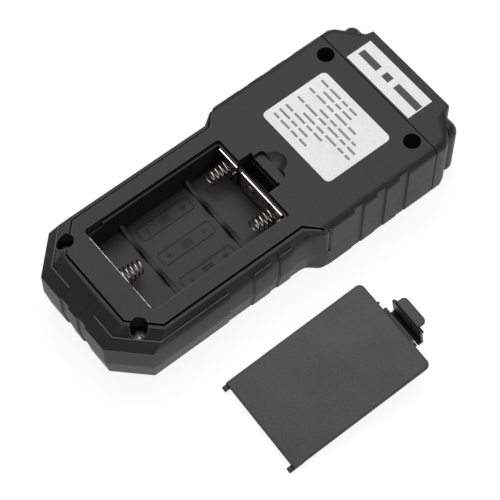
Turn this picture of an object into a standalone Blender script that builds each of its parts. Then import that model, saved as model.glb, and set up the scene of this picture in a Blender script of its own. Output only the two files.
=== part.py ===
"""A handheld field meter lying on its face, with the battery cover taken off and laid beside it.

Metres, +Z up. The origin is the middle of the front face, which rests on the table.
+Y runs to the sensor head and +X to the side where the cover lies.
"""

import math

import bmesh
import bpy
from mathutils import Vector

# Body envelope
BODY_HEIGHT = 0.0250
PARTING_HEIGHT = 0.0102
GRIP_REACH = 0.0663
CAP_LINE = 0.0523
NOSE_REACH = 0.0663
HEAD_HALF_WIDTH = 0.0283
GRIP_HALF_WIDTH = 0.0261
GRIP_CHAMFER = 0.01066
GRIP_TAPER = 0.0017
HEAD_FILLET = 0.0026
FACE_FILLET = 0.0020
WALL = 0.0020
FIT_GAP = 0.0003

# Raised back panel, the groove round it and the stepped rim of the grip
PANEL_HALF_WIDTH = 0.0223
PANEL_REACH = 0.0571
PANEL_CHAMFER = 0.00827
SHOULDER_START = 0.0034
SHOULDER_SLOPE = 0.95
SHOULDER_LEAN = 0.0015
FLARE_INSET = 0.0004
FLARE_Y = 0.0081
HEAD_STEP = 0.0003
GROOVE_WIDTH = 0.0005
GROOVE_DEPTH = 0.0012
BAND_DROP = 0.0005
BAND_WIDTH = 0.0011
RIDGE_DROP = 0.0035
RIDGE_SIDE_INSET = 0.0008
RIDGE_END_INSET = 0.0037
RIDGE_CHAMFER = 0.0101
RIDGE_WIDTH = 0.0003
RIDGE_RISE = 0.0001
WALL_TOP_DROP = 0.0058

# Slots moulded across the grip's end, the grip's sides and the head's sides
SLOT_DEPTH = 0.0006
SLOT_RAMP = 0.0003
END_SLOT_SPACING = 0.0082
END_SLOT_WIDTH = 0.0042
GRIP_SLOTS = ((-0.0268, -0.0173), (-0.0105, -0.0075), (-0.0026, 0.0046))
GRIP_SLOT_RAMPS = (0.0003, 0.0003, 0.0024)
HEAD_SLOT_CENTRES = (0.0213, 0.0304, 0.0393)
HEAD_SLOT_WIDTH = 0.0038

# Head cap: corner chamfer, nose and ears
CAP_CHAMFER_Y = 0.0570
CAP_CHAMFER_ANGLE = math.radians(49.7)
CAP_CORNER = 0.0012
NOSE_HALF_WIDTH = 0.0181
NOSE_DRAFT = 0.0009
NOSE_EDGE = 0.0002
EAR_HALF_WIDTH = 0.0258
EAR_RADIUS = 0.0032
EAR_FRONT = 0.0646
EAR_DROP = 0.0008
EAR_DOME = 0.0042
EAR_BASE = 0.0012
EAR_EDGE = 0.0014
CAP_TONGUE_HALF_WIDTH = 0.0150
CAP_TONGUE_REACH = 0.0027
CAP_TONGUE_THICKNESS = 0.0018

# Battery bay for three small cells, with its cover seat and latch pocket
BAY_HEAD_END = 0.0019
BAY_LENGTH = 0.0505
BAY_HALF_WIDTH = 0.0163
BAY_DEPTH = 0.0118
BAY_WALL = 0.0015
CELL_PITCH = 0.0108
CELL_RADIUS = 0.00525
SEAT_WIDTH = 0.00095
SEAT_START = 0.0065
SEAT_CORNER = 0.0010
PEG_SLOT_DEPTH = 0.0018
RIB_SPACING = 0.0252
RIB_THICKNESS = 0.0012
RIB_RADIUS = 0.0080
RIB_RISE = 0.0002
POCKET_HALF_WIDTH = 0.0073
POCKET_LENGTH = 0.0044
POCKET_DEPTH = 0.0112
PARTITION = 0.0013
THUMB_HALF_WIDTH = 0.0059
THUMB_LENGTH = 0.0034
THUMB_DEPTH = 0.0014
THUMB_CORNER = 0.0014
MOUTH_DROP = 0.0022
SCOOP_RADIUS = 0.0062

# Battery contacts
CONTACT_THICKNESS = 0.0004
CONTACT_HEIGHT = 0.0094
CONTACT_LIFT = 0.0007
CONTACT_SEAT_GAP = 0.00015
CONTACT_MARGIN = 0.0011
TAIL_WIDTH = 0.0030
DIMPLE_RADIUS = 0.0021
DIMPLE_HEIGHT = 0.0009
SPRING_WIRE = 0.0007
SPRING_BASE_RADIUS = 0.0031
SPRING_TIP_RADIUS = 0.0022
SPRING_PITCH = 0.00125
SPRING_CURLS = 5.5
POINTS_PER_CURL = 10

# Battery cover and its latch
COVER_FIT = 0.00015
COVER_THICKNESS = 0.0012
COVER_CORNER = 0.0018
COVER_PLACE_X = 0.0571
COVER_PLACE_Y = -0.0409
COVER_YAW = math.radians(-2.65)
PEG_WIDTH = 0.0017
PEG_REACH = 0.0017
PEG_THICKNESS = 0.0009
LATCH_HALF_WIDTH = 0.0068
LATCH_DEPTH = 0.0089
LATCH_SET = 0.0005
LATCH_LEG = 0.0010
LATCH_ARM = 0.0008
LATCH_GAP = 0.0025
BRACKET_LENGTH = 0.0007
BRACKET_DROP = 0.0009
BRACKET_DEPTH = 0.0019
NIB_X = 0.0083
NIB_WIDTH = 0.0007
NIB_REACH = 0.0006
TAB_HALF_WIDTH = 0.00535
TAB_LENGTH = 0.0030
TAB_THICKNESS = 0.0009
TAB_DROP = 0.0004
TAB_CORNER = 0.0015
CATCH_DROP = 0.0010
CATCH_REACH = 0.0006

# Case screws in their counterbores
HEAD_SCREW_X = 0.0206
HEAD_SCREW_Y = 0.0486
HEAD_SCREW_SEAT = 0.0126
GRIP_SCREW_X = 0.0182
GRIP_SCREW_Y = -0.0549
GRIP_SCREW_SEAT = 0.0163
SCREW_SHANK_RADIUS = 0.00125
SCREW_HEAD_RADIUS = 0.0024
SCREW_HEAD_HEIGHT = 0.0021
SCREW_TIP_HEIGHT = 0.0032
COUNTERBORE_RADIUS = 0.0028
REAR_BOSS_RADIUS = 0.0042
FRONT_BOSS_RADIUS = 0.0034

# Board and what stands on it
BOARD_UNDERSIDE = 0.0075
BOARD_THICKNESS = 0.0016
BOARD_SIDE_GAP = 0.0013
BOARD_GRIP_MARGIN = 0.0050
BOARD_BOSS_GAP = 0.0006
BOARD_HEAD_END = 0.0434
BOARD_TONGUE_HALF_WIDTH = 0.0145
BOARD_TONGUE_END = 0.0575
POST_RADIUS = 0.0022
POST_EDGE = 0.0016
POST_HEAD_Y = 0.0046
POST_SPACING = 0.0490
BOARD_SCREW_RADIUS = 0.0009
BOARD_SCREW_HEAD_RADIUS = 0.0017
BOARD_SCREW_HEAD_HEIGHT = 0.0013
CHIP_SIDE = 0.0100
CHIP_HEIGHT = 0.0012
CHIP_Y = 0.0215
BUZZER_RADIUS = 0.0060
BUZZER_HEIGHT = 0.0052
BUZZER_PLACE = (-0.0125, 0.0355)
BUZZER_MOUTH = 0.0010
COIL_RADIUS = 0.0075
COIL_BORE = 0.0032
COIL_FLANGE = 0.0008
COIL_HEIGHT = 0.0070
COIL_PLACE = (0.0100, 0.0350)
PLATE_HALF_WIDTH = 0.0130
PLATE_LENGTH = 0.0100
PLATE_THICKNESS = 0.0004

# Display
WINDOW_HALF_WIDTH = 0.0190
WINDOW_START = 0.0090
WINDOW_LENGTH = 0.0330
WINDOW_THICKNESS = 0.0008
WINDOW_RECESS = 0.0003
WINDOW_LEDGE = 0.0014
WINDOW_CORNER = 0.0016
LCD_THICKNESS = 0.0028
LCD_MARGIN = 0.0008
HOLDER_WALL = 0.0012
HOLDER_HEIGHT = 0.0036
CONNECTOR_WIDTH = 0.0022
LAMP_RADIUS = 0.0015
LAMP_Y = 0.0478

# Buttons and their switches
BUTTON_HALF_WIDTH = 0.0052
BUTTON_HALF_LENGTH = 0.0034
BUTTON_CORNER = 0.0022
BUTTON_SPACING = 0.0138
BUTTON_Y = -0.0145
BUTTON_RECESS = 0.0004
BUTTON_FLANGE = 0.0011
BUTTON_FLANGE_THICKNESS = 0.0009
BUTTON_STEM_RADIUS = 0.0014
BUTTON_STEM_LENGTH = 0.0006
BUTTON_TRAVEL = 0.0006
SWITCH_SIDE = 0.0060
SWITCH_PLUNGER_RADIUS = 0.0017
SWITCH_PLUNGER = 0.0006

# Stickers on the back
RATING_HALF_WIDTH = 0.01595
RATING_START = 0.0187
RATING_LENGTH = 0.0256
RATING_CORNER = 0.0017
HEAD_LABEL_LEFT = -0.0157
HEAD_LABEL_WIDTH = 0.0294
HEAD_LABEL_MARGIN = 0.0006
HEAD_LABEL_LENGTH = 0.0099
LABEL_THICKNESS = 0.00012
LABEL_GAP = 0.00005

# How finely round forms are cut
ROUND_STEPS = 20
FINE_ROUND_STEPS = 28
CORNER_STEPS = 4
FILLET_STEPS = 4

# Places worked out from the sizes above
OVERCUT = 2 * WALL
BOARD_TOP = BOARD_UNDERSIDE + BOARD_THICKNESS
BAY_FLOOR = BODY_HEIGHT - BAY_DEPTH
BAY_GRIP_END = BAY_HEAD_END - BAY_LENGTH
BAY_MIDDLE = BAY_HEAD_END - BAY_LENGTH / 2
CELL_AXIS = BAY_FLOOR + RIB_RISE + CELL_RADIUS
SEAT_HEIGHT = BODY_HEIGHT - COVER_THICKNESS - COVER_FIT
SEAT_HALF_WIDTH = BAY_HALF_WIDTH + SEAT_WIDTH
SEAT_HEAD_END = BAY_HEAD_END + SEAT_WIDTH
POCKET_START = BAY_HEAD_END + PARTITION
POCKET_END = POCKET_START + POCKET_LENGTH
THUMB_END = POCKET_END + THUMB_LENGTH
COVER_HALF_WIDTH = SEAT_HALF_WIDTH - COVER_FIT
PEG_ROOT = COVER_THICKNESS / 4
COVER_LENGTH = SEAT_HEAD_END - BAY_GRIP_END - 2 * COVER_FIT
LATCH_INNER = COVER_LENGTH + LATCH_SET
LATCH_HINGE = LATCH_INNER + LATCH_LEG / 2 + LATCH_GAP / 2 + LATCH_ARM / 2
LATCH_OUTER = LATCH_INNER + LATCH_LEG + LATCH_GAP
HEAD_SCREWS = ((HEAD_SCREW_X, HEAD_SCREW_Y), (-HEAD_SCREW_X, HEAD_SCREW_Y))
GRIP_SCREWS = ((GRIP_SCREW_X, GRIP_SCREW_Y), (-GRIP_SCREW_X, GRIP_SCREW_Y))
BUTTON_XS = (-BUTTON_SPACING, 0.0, BUTTON_SPACING)
BOARD_HALF_WIDTH = GRIP_HALF_WIDTH - WALL - SLOT_DEPTH - BOARD_SIDE_GAP
BOARD_GRIP_END = BAY_GRIP_END - BOARD_GRIP_MARGIN
BOARD_NOTCH_X = GRIP_SCREW_X - FRONT_BOSS_RADIUS - BOARD_BOSS_GAP
BOARD_NOTCH_Y = GRIP_SCREW_Y + FRONT_BOSS_RADIUS + BOARD_BOSS_GAP
POST_X = BOARD_HALF_WIDTH - POST_EDGE
POST_YS = (POST_HEAD_Y, POST_HEAD_Y - POST_SPACING)
POST_PLACES = [(side * POST_X, y) for y in POST_YS for side in (1, -1)]


def colour_of(code):
    """Linear colour of an sRGB hex code."""
    parts = [int(code[i : i + 2], 16) / 255 for i in (0, 2, 4)]
    return [((c + 0.055) / 1.055) ** 2.4 if c > 0.04045 else c / 12.92 for c in parts] + [1.0]


def material(name, code, roughness, metallic=0.0):
    made = bpy.data.materials.get(name)
    if made:
        return made
    made = bpy.data.materials.new(name)
    made.use_nodes = True
    shader = made.node_tree.nodes["Principled BSDF"]
    shader.inputs["Base Color"].default_value = colour_of(code)
    shader.inputs["Roughness"].default_value = roughness
    shader.inputs["Metallic"].default_value = metallic
    return made


def abs_plastic():
    return material("textured_black_abs", "424242", 0.55)


def cover_plastic():
    return material("satin_black_abs", "515351", 0.45)


def nickel():
    return material("nickel_plated_steel", "c9c5bd", 0.25, 1.0)


def zinc():
    return material("black_zinc_steel", "55555a", 0.40, 1.0)


def paper():
    return material("white_label_film", "ececec", 0.50)


def add_object(name, bm):
    mesh = bpy.data.meshes.new(name)
    bmesh.ops.recalc_face_normals(bm, faces=bm.faces)
    bm.to_mesh(mesh)
    bm.free()
    made = bpy.data.objects.new(name, mesh)
    bpy.context.scene.collection.objects.link(made)
    return made


def loft(name, loops):
    """Solid through closed loops of equal length, capped at both ends."""
    bm = bmesh.new()
    rings = [[bm.verts.new(point) for point in loop] for loop in loops]
    count = len(rings[0])
    for low, high in zip(rings, rings[1:]):
        for i in range(count):
            j = (i + 1) % count
            bm.faces.new((low[i], low[j], high[j], high[i]))
    bmesh.ops.connect_verts_nonplanar(bm, angle_limit=math.radians(0.01), faces=bm.faces[:])
    bm.faces.new(rings[0][::-1])
    bm.faces.new(rings[-1])
    return add_object(name, bm)


def level(outline, z):
    return [(x, y, z) for x, y in outline]


def mirrored(half, z):
    """Full loop at one height from its +X half, which runs from the grip end to the head."""
    return level(half, z) + [(-x, y, z) for x, y in reversed(half)]


def prism(name, outline, low, high):
    return loft(name, [level(outline, low), level(outline, high)])


def rectangle(x0, x1, y0, y1):
    return [(x0, y0), (x1, y0), (x1, y1), (x0, y1)]


def box(name, x0, x1, y0, y1, z0, z1):
    return prism(name, rectangle(x0, x1, y0, y1), z0, z1)


def arc(cx, cy, radius, first, last, steps):
    angles = [first + (last - first) * i / steps for i in range(steps + 1)]
    return [(cx + radius * math.cos(a), cy + radius * math.sin(a)) for a in angles]


def rounded(x0, x1, y0, y1, radius, steps=CORNER_STEPS):
    """Rectangle with round corners, anticlockwise from its lower right corner."""
    quarter = math.pi / 2
    corners = ((x1, y0, -1), (x1, y1, 0), (x0, y1, 1), (x0, y0, 2))
    outline = []
    for x, y, turn in corners:
        cx = x - math.copysign(radius, x - (x0 + x1) / 2)
        cy = y - math.copysign(radius, y - (y0 + y1) / 2)
        outline += arc(cx, cy, radius, turn * quarter, (turn + 1) * quarter, steps)
    return outline


def tongue(half, near, far, radius):
    """Rectangle whose two far corners are round."""
    middle = (near + far) / 2
    ends = [(x, y) for x, y in rounded(-half, half, near, far, radius) if y > middle]
    return [(-half, near), (half, near)] + ends


def circle(cx, cy, radius, steps=ROUND_STEPS):
    return arc(cx, cy, radius, 0.0, 2 * math.pi, steps)[:-1]


def cylinder(name, cx, cy, radius, low, high, steps=ROUND_STEPS):
    return prism(name, circle(cx, cy, radius, steps), low, high)


def turned(name, profile, steps=ROUND_STEPS):
    """Solid of revolution about Z from (radius, height) pairs, lowest first."""
    return loft(name, [level(circle(0.0, 0.0, r, steps), z) for r, z in profile])


def boolean(target, tool, operation):
    """Applies one Boolean to the target and removes the tool."""
    modifier = target.modifiers.new(operation.lower(), "BOOLEAN")
    modifier.operation = operation
    modifier.solver = "EXACT"
    modifier.object = tool
    graph = bpy.context.evaluated_depsgraph_get()
    made = bpy.data.meshes.new_from_object(target.evaluated_get(graph))
    target.modifiers.remove(modifier)
    worn = target.data
    target.data = made
    bpy.data.meshes.remove(worn)
    bpy.data.objects.remove(tool)


def cut(target, *tools):
    for tool in tools:
        boolean(target, tool, "DIFFERENCE")


def join(target, *tools):
    for tool in tools:
        boolean(target, tool, "UNION")


def finish(piece, surface, smooth_degrees=26.0):
    """Gives a piece its material and shades its round faces smooth."""
    mesh = piece.data
    mesh.materials.clear()
    mesh.materials.append(surface)
    if piece.type == "MESH":
        mesh.shade_smooth()
        mesh.set_sharp_from_angle(angle=math.radians(smooth_degrees))
    return piece


def fillet(radius):
    """(inset, drop) pairs down a rounded edge, from the flat face to the wall."""
    angles = [math.pi / 2 * i / FILLET_STEPS for i in range(FILLET_STEPS + 1)]
    return [(radius * (1 - math.sin(a)), radius * (1 - math.cos(a))) for a in angles]


def slot(near, far, face, depth, ramp=SLOT_RAMP):
    """Points of a shallow slot in a side face between two places along Y."""
    floor = face - depth
    return [(face, near), (floor, near + SLOT_RAMP), (floor, far - ramp), (face, far)]


def drawn_in(chamfer, inset):
    """Leg of a corner chamfer after the outline is drawn in evenly by an inset."""
    return chamfer - (2 - math.sqrt(2)) * inset


def grip_half(side, end, chamfer, depth, stop):
    """+X half of the octagonal grip, from the middle of its end to the last side slot."""
    near = (END_SLOT_SPACING - END_SLOT_WIDTH) / 2
    far = near + END_SLOT_WIDTH
    half = [(near, -end), (near + SLOT_RAMP, depth - end), (far - SLOT_RAMP, depth - end), (far, -end)]
    half += [(side - chamfer, -end), (side, chamfer - end)]
    for (first, last), ramp in zip(GRIP_SLOTS, GRIP_SLOT_RAMPS):
        half += slot(first, min(last, stop - SLOT_RAMP), side, depth, ramp)
    return half


def shoulder_y(side, lean):
    """Place along Y where the head's shoulder edge meets a half-width."""
    return SHOULDER_START + (side - PANEL_HALF_WIDTH) * SHOULDER_SLOPE + lean


def flare(side, limit, inset=0.0):
    """Shoulder face: where it leaves the grip's side, and its knee just inside the head's side."""
    stretch = math.sqrt(1 + SHOULDER_SLOPE**2)
    margin = GROOVE_WIDTH + BAND_WIDTH
    start = shoulder_y(side, inset * stretch - margin * stretch)
    knee = HEAD_HALF_WIDTH - FLARE_INSET
    x = min(knee, limit)
    return [(side, start), (x, FLARE_Y - (knee - x) * SHOULDER_SLOPE)]


def head_half(side, inset, reach, lean=SHOULDER_LEAN):
    """+X side of the head from the shoulder to the cap line, with its slots."""
    half = [(side, shoulder_y(side, lean))]
    for centre in HEAD_SLOT_CENTRES:
        depth = max(SLOT_DEPTH - inset, 0.0)
        half += slot(centre - HEAD_SLOT_WIDTH / 2, centre + HEAD_SLOT_WIDTH / 2, side, depth)
    return half + [(side, reach)]


def panel_half(grow):
    """+X half of the raised back panel, grown outwards by a margin."""
    side = PANEL_HALF_WIDTH + grow
    end = PANEL_REACH + grow
    chamfer = drawn_in(PANEL_CHAMFER, -grow)
    return [(side - chamfer, -end), (side, chamfer - end), (side, SHOULDER_START - grow)]


def spine():
    """Back panel and head in one: flat panel edges, and a rounded edge along the head."""
    low = PARTING_HEIGHT - OVERCUT / 2
    reach = CAP_LINE - FIT_GAP / 2
    rims = [(0.0, low)] + [(inset, BODY_HEIGHT - drop) for inset, drop in reversed(fillet(HEAD_FILLET))]
    loops = []
    for inset, z in rims:
        lean = SHOULDER_LEAN * head_drop(z) / HEAD_FILLET
        half = panel_half(0.0) + head_half(HEAD_HALF_WIDTH - inset, inset, reach, lean)
        loops.append(mirrored(half, z))
    return loft("spine", loops)


def groove_cutter():
    """Panel and head outline grown by the groove's width, down to the groove's floor."""
    half = panel_half(GROOVE_WIDTH)
    side = HEAD_HALF_WIDTH + GROOVE_WIDTH
    half.append((side, SHOULDER_START - GROOVE_WIDTH + (side - PANEL_HALF_WIDTH) * SHOULDER_SLOPE))
    half.append((side, CAP_LINE))
    low = BODY_HEIGHT - GROOVE_DEPTH
    return loft("groove", [mirrored(half, low), mirrored(half, BODY_HEIGHT + WALL)])


def shoulder_groove(side):
    """Narrow gap that parts the flare from the head, down the shoulder's outer edge."""
    head_y = shoulder_y(HEAD_HALF_WIDTH, SHOULDER_LEAN)
    slope = (head_y - SHOULDER_START) / (HEAD_HALF_WIDTH - PANEL_HALF_WIDTH)
    inner = HEAD_HALF_WIDTH - SHOULDER_LEAN
    outer = HEAD_HALF_WIDTH + GROOVE_WIDTH
    edge = [(x, head_y + (x - HEAD_HALF_WIDTH) * slope) for x in (inner, outer)]
    near = [(side * x, y - GROOVE_WIDTH * slope) for x, y in edge]
    far = [(side * x, y + HEAD_STEP) for x, y in reversed(edge)]
    return prism("shoulder_groove", near + far, PARTING_HEIGHT - OVERCUT, BODY_HEIGHT + WALL)


def head_drop(z):
    """Depth below the back face, down to the end of the head's rounded edge."""
    return min(BODY_HEIGHT - z, HEAD_FILLET)


def head_edge(z):
    """Half-width of the head at one height of its rounded back edge."""
    rise = HEAD_FILLET - head_drop(z)
    return HEAD_HALF_WIDTH - HEAD_FILLET + math.sqrt(HEAD_FILLET**2 - rise**2)


def grip_frame():
    """Stepped rim of the grip: wall, lower bevel, ridge, upper bevel and the flat band."""
    margin = GROOVE_WIDTH + BAND_WIDTH
    wall = (GRIP_HALF_WIDTH, GRIP_REACH, GRIP_CHAMFER)
    ridge_side = GRIP_HALF_WIDTH - RIDGE_SIDE_INSET
    ridge_end = GRIP_REACH - RIDGE_END_INSET
    ridge = (ridge_side, ridge_end, RIDGE_CHAMFER)
    shelf = (ridge_side - RIDGE_WIDTH, ridge_end - RIDGE_WIDTH, drawn_in(RIDGE_CHAMFER, RIDGE_WIDTH))
    band = (PANEL_HALF_WIDTH + margin, PANEL_REACH + margin, drawn_in(PANEL_CHAMFER, -margin))
    rims = (
        (PARTING_HEIGHT - OVERCUT / 4, wall, SLOT_DEPTH),
        (BODY_HEIGHT - WALL_TOP_DROP, wall, SLOT_DEPTH),
        (BODY_HEIGHT - RIDGE_DROP, ridge, SLOT_DEPTH),
        (BODY_HEIGHT - RIDGE_DROP + RIDGE_RISE, shelf, SLOT_DEPTH / 2),
        (BODY_HEIGHT - BAND_DROP, band, 0.0),
    )
    loops = []
    for z, (side, end, chamfer), depth in rims:
        limit = head_edge(z) - HEAD_STEP
        bend = flare(side, limit)
        half = grip_half(side, end, chamfer, depth, bend[0][1]) + bend
        past = shoulder_y(limit, SHOULDER_LEAN) + HEAD_STEP
        half += [(limit, past), (PANEL_HALF_WIDTH, past + BAND_WIDTH)]
        loops.append(mirrored(half, z))
    return loft("grip_frame", loops)


def rear_cavity():
    """Hollow of the rear shell, leaving the screw bosses and the battery box standing."""
    inset = WALL + SLOT_DEPTH
    past = CAP_LINE + OVERCUT
    knee = BODY_HEIGHT - WALL_TOP_DROP - WALL
    roof = BODY_HEIGHT - WALL
    chamfer = drawn_in(GRIP_CHAMFER, inset)
    low = (GRIP_HALF_WIDTH - inset, GRIP_REACH - inset, chamfer, HEAD_HALF_WIDTH - inset)
    high = (PANEL_HALF_WIDTH - WALL, PANEL_REACH - WALL, drawn_in(PANEL_CHAMFER, WALL))
    rims = (
        (PARTING_HEIGHT - OVERCUT, low),
        (knee, low),
        (roof, high + (HEAD_HALF_WIDTH - HEAD_FILLET - WALL,)),
    )
    loops = []
    for z, (side, end, chamfer, head) in rims:
        half = [(side - chamfer, -end), (side, chamfer - end), (side, SHOULDER_START)]
        half += [(head, SHOULDER_START + (head - side) / SHOULDER_SLOPE + WALL), (head, past)]
        loops.append(mirrored(half, z))
    hollow = loft("rear_hollow", loops)
    low_end = PARTING_HEIGHT - 2 * OVERCUT
    for x, y in HEAD_SCREWS + GRIP_SCREWS:
        cut(hollow, cylinder("boss", x, y, REAR_BOSS_RADIUS, low_end, BODY_HEIGHT))
    half_width = SEAT_HALF_WIDTH + BAY_WALL
    grip_end = BAY_GRIP_END - PEG_SLOT_DEPTH - BAY_WALL
    floor = BAY_FLOOR - BAY_WALL
    head_end = POCKET_END + BAY_WALL
    cut(hollow, box("battery_box", -half_width, half_width, grip_end, head_end, floor, BODY_HEIGHT))
    return hollow


def battery_bay(shell):
    """Cuts the bay, the cover's seat, the peg slots and the latch pocket."""
    top = BODY_HEIGHT + OVERCUT
    well = box("well", -BAY_HALF_WIDTH, BAY_HALF_WIDTH, BAY_GRIP_END, BAY_HEAD_END, BAY_FLOOR, top)
    seat_outline = rounded(-SEAT_HALF_WIDTH, SEAT_HALF_WIDTH, BAY_GRIP_END, SEAT_HEAD_END, SEAT_CORNER)
    seat = prism("seat", seat_outline, SEAT_HEIGHT, top)
    cut(shell, well, seat)
    peg_floor = SEAT_HEIGHT - PEG_THICKNESS - FIT_GAP
    peg_roof = SEAT_HEIGHT + PEG_ROOT + FIT_GAP / 3
    clear_end = BAY_GRIP_END + SEAT_START
    outer = SEAT_HALF_WIDTH - FIT_GAP / 2
    cut(shell, box("peg_room", -outer, outer, BAY_GRIP_END + FIT_GAP, clear_end, peg_floor, top))
    for side in (-1, 1):
        xs = sorted((side * outer, side * (outer - PEG_WIDTH - 2 * FIT_GAP)))
        near = BAY_GRIP_END - PEG_SLOT_DEPTH
        cut(shell, box("peg_slot", *xs, near, clear_end - FIT_GAP, peg_floor - FIT_GAP, peg_roof))
    latch_pocket(shell, top)
    for side in (-1, 1):
        join(shell, cell_rib(BAY_MIDDLE + side * RIB_SPACING / 2))


def latch_pocket(shell, top):
    floor = BODY_HEIGHT - POCKET_DEPTH
    pocket = box("pocket", -POCKET_HALF_WIDTH, POCKET_HALF_WIDTH, POCKET_START, POCKET_END, floor, top)
    mouth_floor = SEAT_HEIGHT - MOUTH_DROP
    near = BAY_HEAD_END - FIT_GAP
    mouth = box("mouth", -POCKET_HALF_WIDTH, POCKET_HALF_WIDTH, near, POCKET_END, mouth_floor, top)
    catch_roof = SEAT_HEIGHT + COVER_THICKNESS - TAB_DROP - TAB_THICKNESS - CATCH_DROP + FIT_GAP
    catch_floor = catch_roof - 2 * CATCH_DROP - 2 * FIT_GAP
    wide = LATCH_HALF_WIDTH + FIT_GAP / 3
    near = POCKET_END - FIT_GAP
    far = POCKET_END + CATCH_REACH + FIT_GAP
    catch_slot = box("catch_slot", -wide, wide, near, far, catch_floor, catch_roof)
    thumb_outline = rounded(
        -THUMB_HALF_WIDTH, THUMB_HALF_WIDTH, POCKET_START, THUMB_END, THUMB_CORNER
    )
    thumb = prism("thumb", thumb_outline, BODY_HEIGHT - THUMB_DEPTH, top)
    rise = BODY_HEIGHT + SCOOP_RADIUS - THUMB_DEPTH
    scoop = turned("scoop", [(SCOOP_RADIUS * math.sin(a), -SCOOP_RADIUS * math.cos(a)) for a in SCOOP_ARC])
    scoop.location = (0.0, THUMB_END, rise)
    bpy.context.view_layer.update()
    cut(shell, pocket, mouth, catch_slot, thumb, scoop)


SCOOP_ARC = [math.radians(angle) for angle in (4, 12, 20, 28, 36, 44)]


def cell_rib(y):
    """Cross rib on the bay floor whose top cradles the three cells."""
    profile = []
    for cell in (-1, 0, 1):
        for i in range(-CORNER_STEPS, CORNER_STEPS + 1):
            if cell > -1 and i == -CORNER_STEPS:
                continue
            offset = i / CORNER_STEPS * CELL_PITCH / 2
            dip = RIB_RADIUS - math.sqrt(RIB_RADIUS**2 - offset**2)
            profile.append((cell * CELL_PITCH + offset, BAY_FLOOR + RIB_RISE + dip))
    root = BAY_FLOOR - BAY_WALL / 2
    edge = BAY_HALF_WIDTH + BAY_WALL / 2
    outline = [(-edge, root), (edge, root), (edge, profile[-1][1])]
    outline += profile[::-1] + [(-edge, profile[0][1])]
    near = y - RIB_THICKNESS / 2
    far = y + RIB_THICKNESS / 2
    return loft("cell_rib", [[(x, far, z) for x, z in outline], [(x, near, z) for x, z in outline]])


def screw_holes(shell):
    top = BODY_HEIGHT + OVERCUT
    low = PARTING_HEIGHT - OVERCUT
    shank = SCREW_SHANK_RADIUS + FIT_GAP
    for places, seat in ((HEAD_SCREWS, HEAD_SCREW_SEAT), (GRIP_SCREWS, GRIP_SCREW_SEAT)):
        for x, y in places:
            cut(shell, cylinder("counterbore", x, y, COUNTERBORE_RADIUS, seat, top, FINE_ROUND_STEPS))
            cut(shell, cylinder("shank_hole", x, y, shank, low, top))


def tail_slot(x, y):
    reach = CONTACT_THICKNESS + 2 * CONTACT_SEAT_GAP
    half = TAIL_WIDTH / 2 + FIT_GAP
    low = BAY_FLOOR - OVERCUT
    return box("tail_slot", x - half, x + half, y - reach, y + reach, low, BAY_FLOOR + CONTACT_LIFT)


def rear_shell():
    shell = spine()
    frame = grip_frame()
    cut(frame, groove_cutter(), shoulder_groove(1), shoulder_groove(-1))
    join(shell, frame)
    reach = GRIP_REACH + CAP_LINE
    seam = PARTING_HEIGHT + FIT_GAP / 2
    cut(shell, box("below_seam", -reach, reach, -reach, reach, seam - 2 * OVERCUT, seam))
    cut(shell, rear_cavity())
    battery_bay(shell)
    screw_holes(shell)
    cut(shell, tail_slot(CELL_PITCH, contact_y(-1)), tail_slot(-CELL_PITCH, contact_y(1)))
    shell.name = "rear_shell"
    return finish(shell, abs_plastic())


def front_half(inset, z, reach):
    """+X half of the front shell at one height, from the grip end to the cap line."""
    taper = GRIP_TAPER * (PARTING_HEIGHT - min(z, PARTING_HEIGHT)) / PARTING_HEIGHT
    pull = inset + taper
    depth = max(SLOT_DEPTH - inset, 0.0)
    side = GRIP_HALF_WIDTH - pull
    bend = flare(side, HEAD_HALF_WIDTH - FLARE_INSET - inset, inset)
    half = grip_half(side, GRIP_REACH - pull, drawn_in(GRIP_CHAMFER, pull), depth, bend[0][1]) + bend
    return half + head_half(HEAD_HALF_WIDTH - inset, inset, reach)


def front_cavity():
    past = CAP_LINE + OVERCUT
    inset = WALL + SLOT_DEPTH
    rims = ((WALL, inset + GRIP_TAPER), (PARTING_HEIGHT + OVERCUT, inset))
    loops = []
    for z, pull in rims:
        side = GRIP_HALF_WIDTH - pull
        end = GRIP_REACH - pull
        chamfer = drawn_in(GRIP_CHAMFER, pull)
        head = HEAD_HALF_WIDTH - pull
        half = [(side - chamfer, -end), (side, chamfer - end), (side, SHOULDER_START)]
        half += [(head, SHOULDER_START + (head - side) / SHOULDER_SLOPE + WALL), (head, past)]
        loops.append(mirrored(half, z))
    hollow = loft("front_hollow", loops)
    for x, y in HEAD_SCREWS + GRIP_SCREWS:
        cut(hollow, cylinder("boss", x, y, FRONT_BOSS_RADIUS, 0.0, PARTING_HEIGHT + 2 * OVERCUT))
    for x, y in POST_PLACES:
        cut(hollow, cylinder("post", x, y, POST_RADIUS, 0.0, BOARD_UNDERSIDE - FIT_GAP))
    return hollow


def display_opening(shell):
    """Recess for the window and the smaller opening that the display shows through."""
    half = WINDOW_HALF_WIDTH
    end = WINDOW_START + WINDOW_LENGTH
    depth = WINDOW_RECESS + WINDOW_THICKNESS + FIT_GAP
    recess = rounded(-half, half, WINDOW_START, end, WINDOW_CORNER)
    cut(shell, prism("window_recess", recess, -WALL, depth))
    half -= WINDOW_LEDGE
    through = rounded(-half, half, WINDOW_START + WINDOW_LEDGE, end - WINDOW_LEDGE, WINDOW_CORNER)
    cut(shell, prism("window_opening", through, -WALL, 2 * WALL))


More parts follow.
